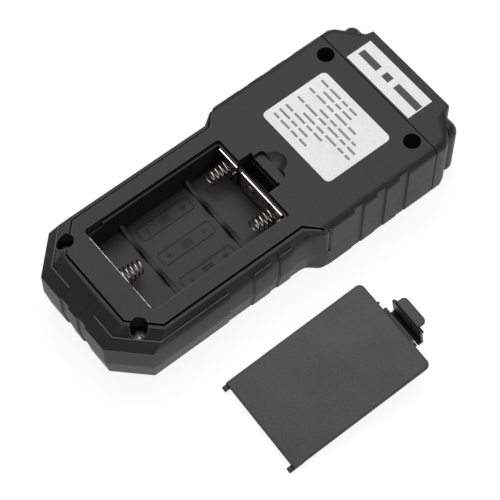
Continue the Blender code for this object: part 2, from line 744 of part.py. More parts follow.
def front_shell():
    reach = CAP_LINE - FIT_GAP / 2
    seam = PARTING_HEIGHT - FIT_GAP / 2
    rims = [(inset, drop) for inset, drop in fillet(FACE_FILLET)] + [(0.0, seam)]
    shell = loft("front_shell", [mirrored(front_half(inset, z, reach), z) for inset, z in rims])
    cut(shell, front_cavity())
    display_opening(shell)
    for x in BUTTON_XS:
        half_width = BUTTON_HALF_WIDTH + FIT_GAP
        half_length = BUTTON_HALF_LENGTH + FIT_GAP
        hole = rounded(
            x - half_width, x + half_width, BUTTON_Y - half_length, BUTTON_Y + half_length,
            BUTTON_CORNER + FIT_GAP,
        )
        cut(shell, prism("button_hole", hole, -WALL, 2 * WALL))
    cut(shell, cylinder("lamp_hole", 0.0, LAMP_Y, LAMP_RADIUS + FIT_GAP, -WALL, 2 * WALL))
    for x, y in HEAD_SCREWS + GRIP_SCREWS:
        hole = SCREW_SHANK_RADIUS + FIT_GAP
        cut(shell, cylinder("pilot", x, y, hole, SCREW_TIP_HEIGHT - FIT_GAP, PARTING_HEIGHT + WALL))
    for x, y in POST_PLACES:
        hole = BOARD_SCREW_RADIUS + FIT_GAP
        cut(shell, cylinder("post_pilot", x, y, hole, WALL, BOARD_UNDERSIDE + WALL))
    return finish(shell, abs_plastic())


def cap_half(inset, edge):
    """+X half of the cap: side, corner chamfer and nose, each drawn in by the rounded edge."""
    along = Vector((math.sin(CAP_CHAMFER_ANGLE), math.cos(CAP_CHAMFER_ANGLE)))
    normal = Vector((along.y, along.x))
    offset = normal.dot(Vector((HEAD_HALF_WIDTH, CAP_CHAMFER_Y))) - inset
    side = HEAD_HALF_WIDTH - inset
    root = NOSE_HALF_WIDTH + NOSE_DRAFT - edge
    corner = (offset - normal.x * side) / normal.y
    half = [(side, CAP_LINE + FIT_GAP / 2), (side, corner - CAP_CORNER)]
    half += [(x, (offset - normal.x * x) / normal.y) for x in (side - CAP_CORNER * along.x, root)]
    return half + [(NOSE_HALF_WIDTH - edge, NOSE_REACH - edge)]


def ear_bar():
    """Domed bar across the head's end, whose two ends stand out as the corner ears."""
    loops = []
    near = EAR_FRONT - 2 * EAR_RADIUS
    wall_top = BODY_HEIGHT - EAR_DROP - EAR_DOME
    low = [(inset, EAR_BASE + drop) for inset, drop in fillet(EAR_EDGE)]
    high = [(EAR_RADIUS * (1 - math.cos(a)), wall_top + EAR_DOME * math.sin(a)) for a in DOME_ARC]
    for inset, z in low + high:
        half = EAR_HALF_WIDTH - inset
        outline = rounded(
            -half, half, near + inset, EAR_FRONT - inset, EAR_RADIUS - inset, 2 * CORNER_STEPS
        )
        loops.append(level(outline, z))
    return loft("ear_bar", loops)


DOME_ARC = [math.radians(angle) for angle in (0, 18, 36, 54, 70, 82)]


def head_cap():
    low = [(inset, drop, inset) for inset, drop in fillet(FACE_FILLET)]
    share = NOSE_EDGE / HEAD_FILLET
    high = [(inset, BODY_HEIGHT - drop, inset * share) for inset, drop in reversed(fillet(HEAD_FILLET))]
    cap = loft("head_cap", [mirrored(cap_half(inset, edge), z) for inset, z, edge in low + high])
    join(cap, ear_bar())
    inner = CAP_TONGUE_HALF_WIDTH + WALL
    start = CAP_LINE - OVERCUT
    roof = BODY_HEIGHT - 2 * WALL
    cut(cap, box("cap_hollow", -inner, inner, start, EAR_FRONT - EAR_RADIUS, 2 * WALL, roof))
    reach = CAP_LINE - CAP_TONGUE_REACH
    half = CAP_TONGUE_HALF_WIDTH
    root = CAP_LINE + WALL
    lower = WALL + FIT_GAP
    upper = BODY_HEIGHT - WALL - FIT_GAP
    join(cap, box("tongue", -half, half, reach, root, lower, lower + CAP_TONGUE_THICKNESS))
    join(cap, box("tongue", -half, half, reach, root, upper - CAP_TONGUE_THICKNESS, upper))
    return finish(cap, abs_plastic())


def contact_y(end):
    """Middle of a contact plate's thickness at the head end (1) or the grip end (-1) of the bay."""
    wall = BAY_HEAD_END if end > 0 else BAY_GRIP_END
    return wall - end * (CONTACT_SEAT_GAP + CONTACT_THICKNESS / 2)


def contact(name, end, first_cell, last_cell, tail_cell=None, dimple_cell=None):
    """Upright contact plate on an end wall of the bay, spanning one cell or two."""
    half = CELL_PITCH / 2 - CONTACT_MARGIN
    low = BAY_FLOOR + CONTACT_LIFT
    thick = CONTACT_THICKNESS / 2
    x0 = first_cell * CELL_PITCH - half
    x1 = last_cell * CELL_PITCH + half
    plate = box(name, x0, x1, -thick, thick, low, low + CONTACT_HEIGHT)
    if tail_cell is not None:
        x = tail_cell * CELL_PITCH
        foot = BOARD_TOP + FIT_GAP
        width = TAIL_WIDTH / 2
        join(plate, box("tail", x - width, x + width, -thick, thick, foot, low + CONTACT_HEIGHT / 2))
    if dimple_cell is not None:
        x = dimple_cell * CELL_PITCH
        profile = [(DIMPLE_RADIUS, 0.0), (DIMPLE_RADIUS * 0.9, DIMPLE_HEIGHT / 2)]
        profile.append((DIMPLE_RADIUS / 2, DIMPLE_HEIGHT))
        dimple = turned("dimple", profile)
        dimple.rotation_euler = (end * math.pi / 2, 0.0, 0.0)
        dimple.location = (x, 0.0, CELL_AXIS)
        bpy.context.view_layer.update()
        join(plate, dimple)
    plate.location = (0.0, contact_y(end), 0.0)
    return finish(plate, nickel())


def spring_points():
    """Centre line of a tapering contact spring that stands on z = 0 and rises along Z."""
    lift = FIT_GAP + SPRING_WIRE
    points = [Vector((SPRING_BASE_RADIUS, 0.0, FIT_GAP)), Vector((SPRING_BASE_RADIUS, 0.0, lift))]
    steps = round(SPRING_CURLS * POINTS_PER_CURL)
    for i in range(1, steps + 1):
        turn = i / POINTS_PER_CURL
        radius = SPRING_BASE_RADIUS + (SPRING_TIP_RADIUS - SPRING_BASE_RADIUS) * i / steps
        angle = 2 * math.pi * turn
        height = lift + SPRING_PITCH * turn
        points.append(Vector((radius * math.cos(angle), radius * math.sin(angle), height)))
    run = (points[-1] - points[-2]).normalized()
    return points + [points[-1] + run * SPRING_WIRE]


def spring_gap(points):
    """Least free gap between turns of the spring, measured on its centre points."""
    apart = POINTS_PER_CURL // 2
    pairs = [(a, b) for i, a in enumerate(points) for b in points[i + apart :]]
    return min((a - b).length for a, b in pairs) - SPRING_WIRE


def contact_spring(number, end, cell):
    points = spring_points()
    curve = bpy.data.curves.new(f"contact_spring_{number}", "CURVE")
    curve.dimensions = "3D"
    curve.bevel_depth = SPRING_WIRE / 2
    curve.bevel_resolution = 1
    curve.use_fill_caps = True
    path = curve.splines.new("POLY")
    path.points.add(len(points) - 1)
    for place, point in zip(path.points, points):
        place.co = (*point, 1.0)
    spring = bpy.data.objects.new(curve.name, curve)
    bpy.context.scene.collection.objects.link(spring)
    spring.rotation_euler = (end * math.pi / 2, 0.0, 0.0)
    spring.location = (cell * CELL_PITCH, contact_y(end) - end * CONTACT_THICKNESS / 2, CELL_AXIS)
    return finish(spring, nickel())


def battery_cover():
    """Cover plate with its pegs and the latch's fixed leg, built from the middle of its grip edge."""
    outline = tongue(COVER_HALF_WIDTH, 0.0, COVER_LENGTH, COVER_CORNER)
    cover = prism("battery_cover", outline, 0.0, COVER_THICKNESS)
    for side in (-1, 1):
        outer = COVER_HALF_WIDTH - FIT_GAP / 3
        xs = sorted((side * outer, side * (outer - PEG_WIDTH)))
        join(cover, box("peg", *xs, -PEG_REACH, COVER_CORNER * 2, -PEG_THICKNESS, PEG_ROOT))
        xs = sorted((side * NIB_X, side * (NIB_X + NIB_WIDTH)))
        near = COVER_LENGTH - NIB_REACH
        join(cover, box("nib", *xs, near, COVER_LENGTH + NIB_REACH, PEG_ROOT / 2, COVER_THICKNESS / 2))
    half = LATCH_HALF_WIDTH
    outer = LATCH_INNER + LATCH_LEG
    near = COVER_LENGTH - BRACKET_LENGTH
    join(cover, box("web", -half, half, near, COVER_LENGTH - FIT_GAP / 3, -BRACKET_DEPTH, PEG_ROOT))
    inset = half - FIT_GAP / 3
    near += FIT_GAP / 3
    low = -LATCH_DEPTH
    join(cover, box("bracket", -inset, inset, near, outer, FIT_GAP / 10 - BRACKET_DEPTH, -BRACKET_DROP))
    inset -= FIT_GAP / 10
    leg_top = -BRACKET_DEPTH / 2 - FIT_GAP
    join(cover, box("leg", -inset, inset, LATCH_INNER, outer - FIT_GAP / 10, low, leg_top))
    bend = LATCH_HINGE - FIT_GAP / 2
    inset -= FIT_GAP / 10
    near = outer - LATCH_LEG / 2
    join(cover, box("bend", -inset, inset, near, bend, low + FIT_GAP / 10, low + LATCH_LEG))
    pitch = math.atan2(LATCH_DEPTH - PEG_THICKNESS, LATCH_INNER + PEG_REACH)
    cover.rotation_euler = (pitch, 0.0, COVER_YAW)
    lift = PEG_THICKNESS * math.cos(pitch) + PEG_REACH * math.sin(pitch)
    cover.location = (COVER_PLACE_X, COVER_PLACE_Y, lift)
    return finish(cover, cover_plastic())


def cover_latch(cover):
    """Sprung outer arm with its catch and thumb tab, hinged at the bottom of the U."""
    hinge_z = LATCH_LEG / 2 - LATCH_DEPTH
    half = LATCH_HALF_WIDTH
    inner = LATCH_OUTER - LATCH_HINGE
    outer = inner + LATCH_ARM
    low = -LATCH_LEG / 2
    tab_top = COVER_THICKNESS - TAB_DROP - hinge_z
    tab_low = tab_top - TAB_THICKNESS
    latch = box("cover_latch", -half, half, inner, outer, low, tab_low + TAB_THICKNESS / 4)
    inset = half - FIT_GAP / 10
    join(latch, box("bend", -inset, inset, FIT_GAP / 2, outer - LATCH_ARM / 2, low + FIT_GAP / 10, -low))
    catch_top = tab_low - CATCH_DROP
    root = outer - LATCH_ARM / 2
    tip = outer + CATCH_REACH
    catch = [(root, catch_top - 2 * CATCH_DROP), (tip, catch_top - CATCH_DROP)]
    catch += [(tip, catch_top), (root, catch_top)]
    inset = half - FIT_GAP / 3
    join(latch, loft("catch", [[(x, y, z) for y, z in catch] for x in (-inset, inset)]))
    outline = tongue(TAB_HALF_WIDTH, root, outer + TAB_LENGTH, TAB_CORNER)
    join(latch, prism("tab", outline, tab_low, tab_top))
    latch.parent = cover
    latch.location = (0.0, LATCH_HINGE, hinge_z)
    return finish(latch, cover_plastic())


def case_screw(number, x, y, seat):
    """Pan-head case screw with a cross recess, its head just above the counterbore floor."""
    under = seat + FIT_GAP
    shank = SCREW_SHANK_RADIUS
    length = under - SCREW_TIP_HEIGHT
    head = SCREW_HEAD_RADIUS
    profile = [
        (shank / 3, 0.0),
        (shank, 2 * shank),
        (shank, length),
        (head, length),
        (head, length + SCREW_HEAD_HEIGHT / 2),
        (head * 0.85, length + SCREW_HEAD_HEIGHT * 0.85),
        (head * 0.45, length + SCREW_HEAD_HEIGHT),
    ]
    screw = turned(f"case_screw_{number}", profile)
    wide = head * 0.6
    thin = head * 0.13
    low = length + SCREW_HEAD_HEIGHT * 0.45
    high = length + 2 * SCREW_HEAD_HEIGHT
    cut(screw, box("recess", -wide, wide, -thin, thin, low, high))
    cut(screw, box("recess", -thin, thin, -wide, wide, low, high))
    screw.location = (x, y, SCREW_TIP_HEIGHT)
    return finish(screw, zinc())


def main_board():
    """Board notched round the grip bosses, with a tongue into the head cap and four screw holes."""
    half = [(BOARD_NOTCH_X, BOARD_GRIP_END), (BOARD_NOTCH_X, BOARD_NOTCH_Y)]
    half += [(BOARD_HALF_WIDTH, BOARD_NOTCH_Y), (BOARD_HALF_WIDTH, BOARD_HEAD_END)]
    half += [(BOARD_TONGUE_HALF_WIDTH, BOARD_HEAD_END), (BOARD_TONGUE_HALF_WIDTH, BOARD_TONGUE_END)]
    board = loft("main_board", [mirrored(half, BOARD_UNDERSIDE), mirrored(half, BOARD_TOP)])
    for x, y in POST_PLACES:
        cut(board, cylinder("hole", x, y, BOARD_SCREW_RADIUS + FIT_GAP, 0.0, BODY_HEIGHT))
    return finish(board, material("green_solder_mask", "1f5a35", 0.4))


def board_screw(number, x, y):
    under = BOARD_TOP + FIT_GAP
    low = WALL + FIT_GAP
    shank = BOARD_SCREW_RADIUS
    head = BOARD_SCREW_HEAD_RADIUS
    profile = [(shank / 2, 0.0), (shank, 2 * shank), (shank, under - low), (head, under - low)]
    profile.append((head * 0.7, under - low + BOARD_SCREW_HEAD_HEIGHT))
    screw = turned(f"board_screw_{number}", profile, ROUND_STEPS // 2)
    screw.location = (x, y, low)
    return finish(screw, zinc())


def board_parts():
    """Chip, buzzer, sensing coil and field plate on the board's upper side."""
    low = BOARD_TOP + FIT_GAP
    half = CHIP_SIDE / 2
    chip = box("microcontroller", -half, half, CHIP_Y - half, CHIP_Y + half, low, low + CHIP_HEIGHT)
    finish(chip, material("black_epoxy", "1d1d1f", 0.5))
    x, y = BUZZER_PLACE
    buzzer = cylinder("buzzer", x, y, BUZZER_RADIUS, low, low + BUZZER_HEIGHT, FINE_ROUND_STEPS)
    cut(buzzer, cylinder("mouth", x, y, BUZZER_MOUTH, low + BUZZER_HEIGHT / 2, low + 2 * BUZZER_HEIGHT))
    finish(buzzer, material("black_epoxy", "1d1d1f", 0.5))
    flange = COIL_FLANGE
    waist = COIL_RADIUS - 2 * COIL_FLANGE
    profile = [(COIL_RADIUS, 0.0), (COIL_RADIUS, flange), (waist, flange), (waist, COIL_HEIGHT - flange)]
    profile += [(COIL_RADIUS, COIL_HEIGHT - flange), (COIL_RADIUS, COIL_HEIGHT)]
    coil = turned("field_coil", profile, FINE_ROUND_STEPS)
    cut(coil, cylinder("bore", 0.0, 0.0, COIL_BORE, -COIL_HEIGHT, 2 * COIL_HEIGHT))
    coil.location = (*COIL_PLACE, low)
    finish(coil, material("enamelled_copper", "a8632f", 0.35, 0.8))
    start = BOARD_TONGUE_END - PLATE_LENGTH - FIT_GAP
    width = PLATE_HALF_WIDTH
    plate = box("field_plate", -width, width, start, start + PLATE_LENGTH, low, low + PLATE_THICKNESS)
    finish(plate, material("tinned_copper", "c2a98c", 0.3, 1.0))


def display_parts():
    """Window, display glass, its holder, the contact strip and the alarm lamp."""
    half = WINDOW_HALF_WIDTH - FIT_GAP
    end = WINDOW_START + WINDOW_LENGTH
    outline = rounded(-half, half, WINDOW_START + FIT_GAP, end - FIT_GAP, WINDOW_CORNER - FIT_GAP)
    window = prism("display_window", outline, WINDOW_RECESS, WINDOW_RECESS + WINDOW_THICKNESS)
    finish(window, material("clear_acrylic", "20282c", 0.08))
    low = WALL + FIT_GAP
    half = WINDOW_HALF_WIDTH - LCD_MARGIN
    near = WINDOW_START + LCD_MARGIN
    far = end - LCD_MARGIN
    panel = box("lcd_panel", -half, half, near, far, low, low + LCD_THICKNESS)
    finish(panel, material("lcd_glass", "7f8d80", 0.15))
    inner = half + FIT_GAP
    outer = inner + HOLDER_WALL
    reach = FIT_GAP + HOLDER_WALL
    top = low + HOLDER_HEIGHT
    holder = box("lcd_holder", -outer, outer, near - reach, far + reach, low, top)
    cut(holder, box("inside", -inner, inner, near - FIT_GAP, far + FIT_GAP, -low, top + low))
    finish(holder, material("white_nylon", "d8d6cf", 0.5))
    strip_low = low + LCD_THICKNESS + FIT_GAP
    strip = box(
        "lcd_connector", -half, half, near, near + CONNECTOR_WIDTH, strip_low, BOARD_UNDERSIDE - FIT_GAP
    )
    finish(strip, material("grey_silicone", "8b8b8b", 0.7))
    dome = [(LAMP_RADIUS * math.sin(a), LAMP_RADIUS * (1 - math.cos(a))) for a in LAMP_DOME]
    body = BOARD_UNDERSIDE - FIT_GAP - BUTTON_RECESS
    lamp = turned("alarm_lamp", dome + [(LAMP_RADIUS, body)])
    lamp.location = (0.0, LAMP_Y, BUTTON_RECESS)
    finish(lamp, material("red_epoxy", "8e1512", 0.2))


LAMP_DOME = [math.radians(angle) for angle in (10, 30, 50, 70, 90)]


def button(name, x):
    """Push button with its inner flange and stem, built round its own axis of travel."""
    half_width = BUTTON_HALF_WIDTH
    half_length = BUTTON_HALF_LENGTH
    flange_low = WALL + FIT_GAP
    flange_top = flange_low + BUTTON_FLANGE_THICKNESS
    face = rounded(-half_width, half_width, -half_length, half_length, BUTTON_CORNER)
    made = prism(name, face, BUTTON_RECESS, flange_low + BUTTON_FLANGE_THICKNESS / 2)
    wide = half_width + BUTTON_FLANGE
    long = half_length + BUTTON_FLANGE
    join(made, prism("flange", rounded(-wide, wide, -long, long, BUTTON_CORNER), flange_low, flange_top))
    stem_top = flange_top + BUTTON_STEM_LENGTH
    root = flange_low + BUTTON_FLANGE_THICKNESS / 2
    join(made, cylinder("stem", 0.0, 0.0, BUTTON_STEM_RADIUS, root, stem_top))
    made.location = (x, BUTTON_Y, 0.0)
    return finish(made, material("grey_silicone_key", "6f6f70", 0.6))


def tact_switch(name, x):
    """Switch under the board; its plunger stays clear of the stem at the end of the travel."""
    half = SWITCH_SIDE / 2
    stem_top = WALL + FIT_GAP + BUTTON_FLANGE_THICKNESS + BUTTON_STEM_LENGTH
    tip = stem_top + BUTTON_TRAVEL + FIT_GAP
    body = tip + SWITCH_PLUNGER
    made = box(name, -half, half, -half, half, body, BOARD_UNDERSIDE - FIT_GAP)
    join(made, cylinder("plunger", 0.0, 0.0, SWITCH_PLUNGER_RADIUS, tip, body + SWITCH_PLUNGER))
    made.location = (x, BUTTON_Y, 0.0)
    return finish(made, material("black_epoxy", "1d1d1f", 0.5))


def labels():
    low = BODY_HEIGHT + LABEL_GAP
    high = low + LABEL_THICKNESS
    half = RATING_HALF_WIDTH
    outline = rounded(-half, half, RATING_START, RATING_START + RATING_LENGTH, RATING_CORNER)
    finish(prism("rating_label", outline, low, high), paper())
    left = HEAD_LABEL_LEFT
    near = CAP_LINE + FIT_GAP / 2 + HEAD_LABEL_MARGIN
    head = box("head_label", left, left + HEAD_LABEL_WIDTH, near, near + HEAD_LABEL_LENGTH, low, high)
    finish(head, paper())


def clear_scene():
    for old in list(bpy.data.objects):
        bpy.data.objects.remove(old)


def contacts():
    contact("contact_bridge_grip", -1, -1, 0)
    contact("contact_plate_grip", -1, 1, 1, tail_cell=1)
    contact("contact_plate_head", 1, -1, -1, tail_cell=-1)
    contact("contact_bridge_head", 1, 0, 1, dimple_cell=0)
    contact_spring(1, 1, -1)
    contact_spring(2, -1, 0)
    contact_spring(3, 1, 1)
    print(f"least gap between spring turns: {spring_gap(spring_points()) * 1000:.2f} mm")


def main():
    clear_scene()
    rear_shell()
    front_shell()
    head_cap()
    contacts()
    cover_latch(battery_cover())
    places = [(x, y, HEAD_SCREW_SEAT) for x, y in HEAD_SCREWS]
    places += [(x, y, GRIP_SCREW_SEAT) for x, y in GRIP_SCREWS]
    for number, place in enumerate(places, 1):
        case_screw(number, *place)
    main_board()
    for number, place in enumerate(POST_PLACES, 1):
        board_screw(number, *place)
    board_parts()
    display_parts()
    for name, x in zip(("power", "mode", "hold"), BUTTON_XS):
        button(f"button_{name}", x)
        tact_switch(f"switch_{name}", x)
    labels()


main()
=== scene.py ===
import math

import bmesh
import bpy
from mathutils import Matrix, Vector
from mathutils.geometry import intersect_point_line


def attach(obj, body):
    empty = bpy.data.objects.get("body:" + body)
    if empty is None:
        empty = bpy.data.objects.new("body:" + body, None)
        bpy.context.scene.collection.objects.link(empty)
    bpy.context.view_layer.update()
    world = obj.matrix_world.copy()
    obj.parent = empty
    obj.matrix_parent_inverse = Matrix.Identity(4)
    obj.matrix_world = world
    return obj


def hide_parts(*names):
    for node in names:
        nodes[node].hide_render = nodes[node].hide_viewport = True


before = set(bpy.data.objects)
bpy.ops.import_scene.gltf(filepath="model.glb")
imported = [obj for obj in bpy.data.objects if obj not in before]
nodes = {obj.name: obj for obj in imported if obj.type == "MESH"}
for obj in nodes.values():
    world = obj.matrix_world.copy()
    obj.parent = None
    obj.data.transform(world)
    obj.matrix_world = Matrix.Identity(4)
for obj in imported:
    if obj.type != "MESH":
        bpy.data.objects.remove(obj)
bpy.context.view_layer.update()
mm = 0.001
print("frame loaded:", len(nodes), "CAD nodes")


# camera first, then finishes, then pieces

cameraSet = {
    "target": (19.03 * mm, -13.97 * mm, 25.0 * mm),  # a point on the back panel's plane
    "distance": 568.13 * mm,
    "azimuth": 51.103,
    "elevation": 61.304,
    "lens": 137.707,
    "sensor": 36.0,
    "clip": (0.02, 20.0),
}


def addObject(name, data):
    made = bpy.data.objects.new(name, data)
    bpy.context.scene.collection.objects.link(made)
    return made


def makeCamera(s):
    a = math.radians(s["azimuth"])
    e = math.radians(s["elevation"])
    back = Vector((math.sin(a) * math.cos(e), -math.cos(a) * math.cos(e), math.sin(e)))
    camera = addObject("photoCamera", bpy.data.cameras.new("photoCamera"))
    camera.location = Vector(s["target"]) + back * s["distance"]
    camera.rotation_mode = "QUATERNION"
    camera.rotation_quaternion = (-back).to_track_quat("-Z", "Y")
    camera.data.lens = s["lens"]
    camera.data.sensor_width = s["sensor"]
    camera.data.clip_start, camera.data.clip_end = s["clip"]
    bpy.context.scene.camera = camera


makeCamera(cameraSet)
bpy.context.scene.view_settings.view_transform = "Standard"
print("camera set")


# small helpers for shader and geometry trees

def linear(code):
    parts = [int(code[i:i + 2], 16) / 255 for i in (1, 3, 5)]
    levels = [((c + 0.055) / 1.055) ** 2.4 if c > 0.04045 else c / 12.92 for c in parts]
    return (*levels, 1.0)


def addNode(tree, kind, values=None, links=None, **settings):
    node = tree.nodes.new(kind)
    for name, value in settings.items():
        setattr(node, name, value)
    for name, value in (values or {}).items():
        node.inputs[name].default_value = value
    for name, source in (links or {}).items():
        tree.links.new(source, node.inputs[name])
    return node


def newMaterial(name):
    material = bpy.data.materials.new(name)
    material.use_nodes = True
    tree = material.node_tree
    tree.nodes.clear()
    shader = addNode(tree, "ShaderNodeBsdfPrincipled")
    addNode(tree, "ShaderNodeOutputMaterial", links={"Surface": shader.outputs["BSDF"]})
    coords = addNode(tree, "ShaderNodeTexCoord").outputs["Object"]
    return material, tree, shader, coords


# a mix node's colours are its inputs 6 and 7, and the mixed colour is its output 2
def tintBetween(tree, s, share, socket):
    values = {6: linear(s["dark"]), 7: linear(s["light"])}
    tint = addNode(tree, "ShaderNodeMix", values, {0: share}, data_type="RGBA")
    tree.links.new(tint.outputs[2], socket)


def roughBetween(tree, s, share, shader):
    values = {"To Min": s["rough"][0], "To Max": s["rough"][1]}
    rough = addNode(tree, "ShaderNodeMapRange", values, {"Value": share})
    tree.links.new(rough.outputs[0], shader.inputs["Roughness"])


# painted shade in creases and hollows, and painted light along outer edges, a highlight where its
# tint is pale and a shade where it is dark: both grow as a point is closed in
def paintShadeAndHighlight(tree, shader, s, outer):
    base = shader.inputs["Base Color"]
    values = {"Distance": s["reach"]}
    shut = addNode(tree, "ShaderNodeAmbientOcclusion", values, samples=8, inside=outer)
    values = {"From Min": s["from"], "From Max": s["to"], "To Min": s["most"], "To Max": 0.0}
    share = addNode(tree, "ShaderNodeMapRange", values, {"Value": shut.outputs["AO"]}).outputs[0]
    links = {0: share, 6: base.links[0].from_socket}
    tint = addNode(tree, "ShaderNodeMix", {7: linear(s["tint"])}, links, data_type="RGBA")
    tree.links.new(tint.outputs[2], base)
    if not outer:  # painted shade: creases also reflect less
        values = {6: (1, 1, 1, 1), 7: linear(s["tint"])}
        shadedGloss = addNode(tree, "ShaderNodeMix", values, {0: share}, data_type="RGBA")
        tree.links.new(shadedGloss.outputs[2], shader.inputs["Specular Tint"])


noiseSpread = {"From Min": 0.3, "From Max": 0.7}  # noise keeps near its middle, so it is stretched
softReach = 0.5 * mm  # how far light goes into a soft plastic


def mouldedPlastic(name, s):
    material, tree, shader, coords = newMaterial(name)
    grainValues = {"Scale": 1 / s["grain"], "Detail": 3.0, "Roughness": 0.6}
    grain = addNode(tree, "ShaderNodeTexNoise", grainValues, {"Vector": coords}).outputs[0]
    cloudValues = {"Scale": 1 / s["cloud"], "Detail": 2.0}
    cloud = addNode(tree, "ShaderNodeTexNoise", cloudValues, {"Vector": coords}).outputs[0]
    wide = addNode(tree, "ShaderNodeMapRange", noiseSpread, {"Value": cloud}).outputs[0]
    fine = addNode(tree, "ShaderNodeMapRange", noiseSpread, {"Value": grain}).outputs[0]
    share = addNode(tree, "ShaderNodeMix", {0: s["speck"]}, {2: wide, 3: fine}).outputs[0]
    tintBetween(tree, s, share, shader.inputs["Base Color"])
    # painted shade in creases, then painted light along outer edges
    if "crease" in s:
        paintShadeAndHighlight(tree, shader, s["crease"], False)
        paintShadeAndHighlight(tree, shader, s["paintedOuterEdge"], True)
    roughBetween(tree, s, cloud, shader)
    bumpValues = {"Strength": s["bump"], "Distance": s["depth"]}
    bump = addNode(tree, "ShaderNodeBump", bumpValues, {"Height": grain})
    tree.links.new(bump.outputs[0], shader.inputs["Normal"])
    shader.inputs["IOR"].default_value = s.get("ior", 1.5)
    shader.inputs["Specular IOR Level"].default_value = s.get("specular", 0.5)
    shader.inputs["Subsurface Weight"].default_value = s.get("soft", 0.0)
    shader.inputs["Subsurface Scale"].default_value = softReach
    return material


def platedMetal(name, s):
    material, tree, shader, coords = newMaterial(name)
    stainValues = {"Scale": 1 / s["stain"], "Detail": 3.0}
    stain = addNode(tree, "ShaderNodeTexNoise", stainValues, {"Vector": coords}).outputs[0]
    stain = addNode(tree, "ShaderNodeMapRange", noiseSpread, {"Value": stain}).outputs[0]
    tintBetween(tree, s, stain, shader.inputs["Base Color"])
    roughBetween(tree, s, stain, shader)
    dentValues = {"Scale": 1 / s["dent"], "Detail": 2.0}
    dent = addNode(tree, "ShaderNodeTexNoise", dentValues, {"Vector": coords}).outputs[0]
    bumpValues = {"Strength": 0.1, "Distance": 0.03 * mm}
    bump = addNode(tree, "ShaderNodeBump", bumpValues, {"Height": dent})
    tree.links.new(bump.outputs[0], shader.inputs["Normal"])
    shader.inputs["Metallic"].default_value = 1.0
    return material


# stripes or tracks: a banded wave picks between two colours
def bandedSheet(name, s):
    material, tree, shader, coords = newMaterial(name)
    waveValues = {"Scale": 1 / s["band"] / math.pi, "Distortion": s["wander"], "Detail": 1.0}
    links = {"Vector": coords}
    wave = addNode(tree, "ShaderNodeTexWave", waveValues, links, bands_direction=s["across"])
    edgeValues = {"From Min": s["edge"][0], "From Max": s["edge"][1]}
    track = addNode(tree, "ShaderNodeMapRange", edgeValues, {"Value": wave.outputs[1]}).outputs[0]
    tintBetween(tree, s, track, shader.inputs["Base Color"])
    roughBetween(tree, s, track, shader)
    bumpValues = {"Strength": 0.3, "Distance": 0.03 * mm}
    bump = addNode(tree, "ShaderNodeBump", bumpValues, {"Height": track})
    tree.links.new(bump.outputs[0], shader.inputs["Normal"])
    return material


def clearSheet(name, s):
    material, tree, shader, coords = newMaterial(name)
    scuffValues = {"Scale": 1 / s["scuff"], "Detail": 4.0}
    scuff = addNode(tree, "ShaderNodeTexNoise", scuffValues, {"Vector": coords}).outputs[0]
    tintBetween(tree, s, scuff, shader.inputs["Base Color"])
    roughBetween(tree, s, scuff, shader)
    shader.inputs["Transmission Weight"].default_value = s["clear"]
    shader.inputs["IOR"].default_value = s["ior"]
    return material


# ABS moulded against a spark-eroded tool: matte, with an even grain
# (the grain is coarser than life, or it wouldn't show)
caseAbs = mouldedPlastic("sparkTexturedAbs", {
    "dark": "#1b1b1c", "light": "#292a2a", "grain": 0.55 * mm, "cloud": 14 * mm, "speck": 0.6,
    "rough": (0.42, 0.50), "bump": 0.20, "depth": 0.05 * mm, "ior": 1.53, "specular": 0.26,
    # painted shade: creases and hollows turn near black and reflect less
    "crease": {"tint": "#080808", "reach": 0.8 * mm, "from": 0.50, "to": 0.93, "most": 0.95},
    # painted highlight: a paler grey along outer edges
    "paintedOuterEdge": {"tint": "#707071", "reach": 0.40 * mm, "from": 0.35, "to": 0.80, "most": 0.75},
})
# the same ABS from a finer tool: smoother, and a little paler
coverAbs = mouldedPlastic("satinAbs", {
    "dark": "#343635", "light": "#4e504f", "grain": 0.6 * mm, "cloud": 16 * mm, "speck": 0.5,
    "rough": (0.38, 0.45), "bump": 0.14, "depth": 0.04 * mm, "ior": 1.53, "specular": 0.26,
    # painted shade: near black in creases and in deep gaps such as the latch's, traced up to 3 mm
    "crease": {"tint": "#060606", "reach": 3.0 * mm, "from": 0.40, "to": 0.90, "most": 0.95},
    # painted shade too: near black along outer edges and rims
    "paintedOuterEdge": {"tint": "#060606", "reach": 0.8 * mm, "from": 0.50, "to": 0.95, "most": 0.95},
})
# nickel over spring steel: bright and slightly warm, with faint handling stains
nickel = platedMetal("nickelPlatedSteel", {
    "dark": "#8c877f", "light": "#ebe5db", "stain": 2.0 * mm, "dent": 1.2 * mm,
    "rough": (0.24, 0.10),
})
# black zinc on steel screws: dull grey where a driver has worn it
blackZinc = platedMetal("blackZincSteel", {
    "dark": "#6e6e70", "light": "#b0b0b2", "stain": 0.8 * mm, "dent": 0.6 * mm,
    "rough": (0.28, 0.42),
})
# vinyl label film: near white, faintly mottled where its glue shows through
labelFilm = mouldedPlastic("whiteVinylFilm", {
    "dark": "#dddddc", "light": "#fafaf9", "grain": 0.6 * mm, "cloud": 6 * mm, "speck": 0.7,
    "rough": (0.38, 0.48), "bump": 0.08, "depth": 0.02 * mm,
})
# thin screen ink: grey, because the white film shows through it
paleInk = mouldedPlastic("thinScreenInk", {
    "dark": "#7d7d7e", "light": "#949495", "grain": 0.3 * mm, "cloud": 3 * mm, "speck": 0.5,
    "rough": (0.45, 0.55), "bump": 0.10, "depth": 0.01 * mm,
})
# full screen ink: near black, slightly glossier than the film
denseInk = mouldedPlastic("denseScreenInk", {
    "dark": "#141414", "light": "#222222", "grain": 0.3 * mm, "cloud": 3 * mm, "speck": 0.5,
    "rough": (0.35, 0.45), "bump": 0.10, "depth": 0.01 * mm,
})
# silicone rubber keys: soft matte grey that holds dust
keyRubber = mouldedPlastic("siliconeKeyRubber", {
    "dark": "#6a6a6c", "light": "#747476", "grain": 0.25 * mm, "cloud": 4 * mm, "speck": 0.4,
    "rough": (0.60, 0.72), "bump": 0.12, "depth": 0.03 * mm, "ior": 1.41, "soft": 0.1,
})
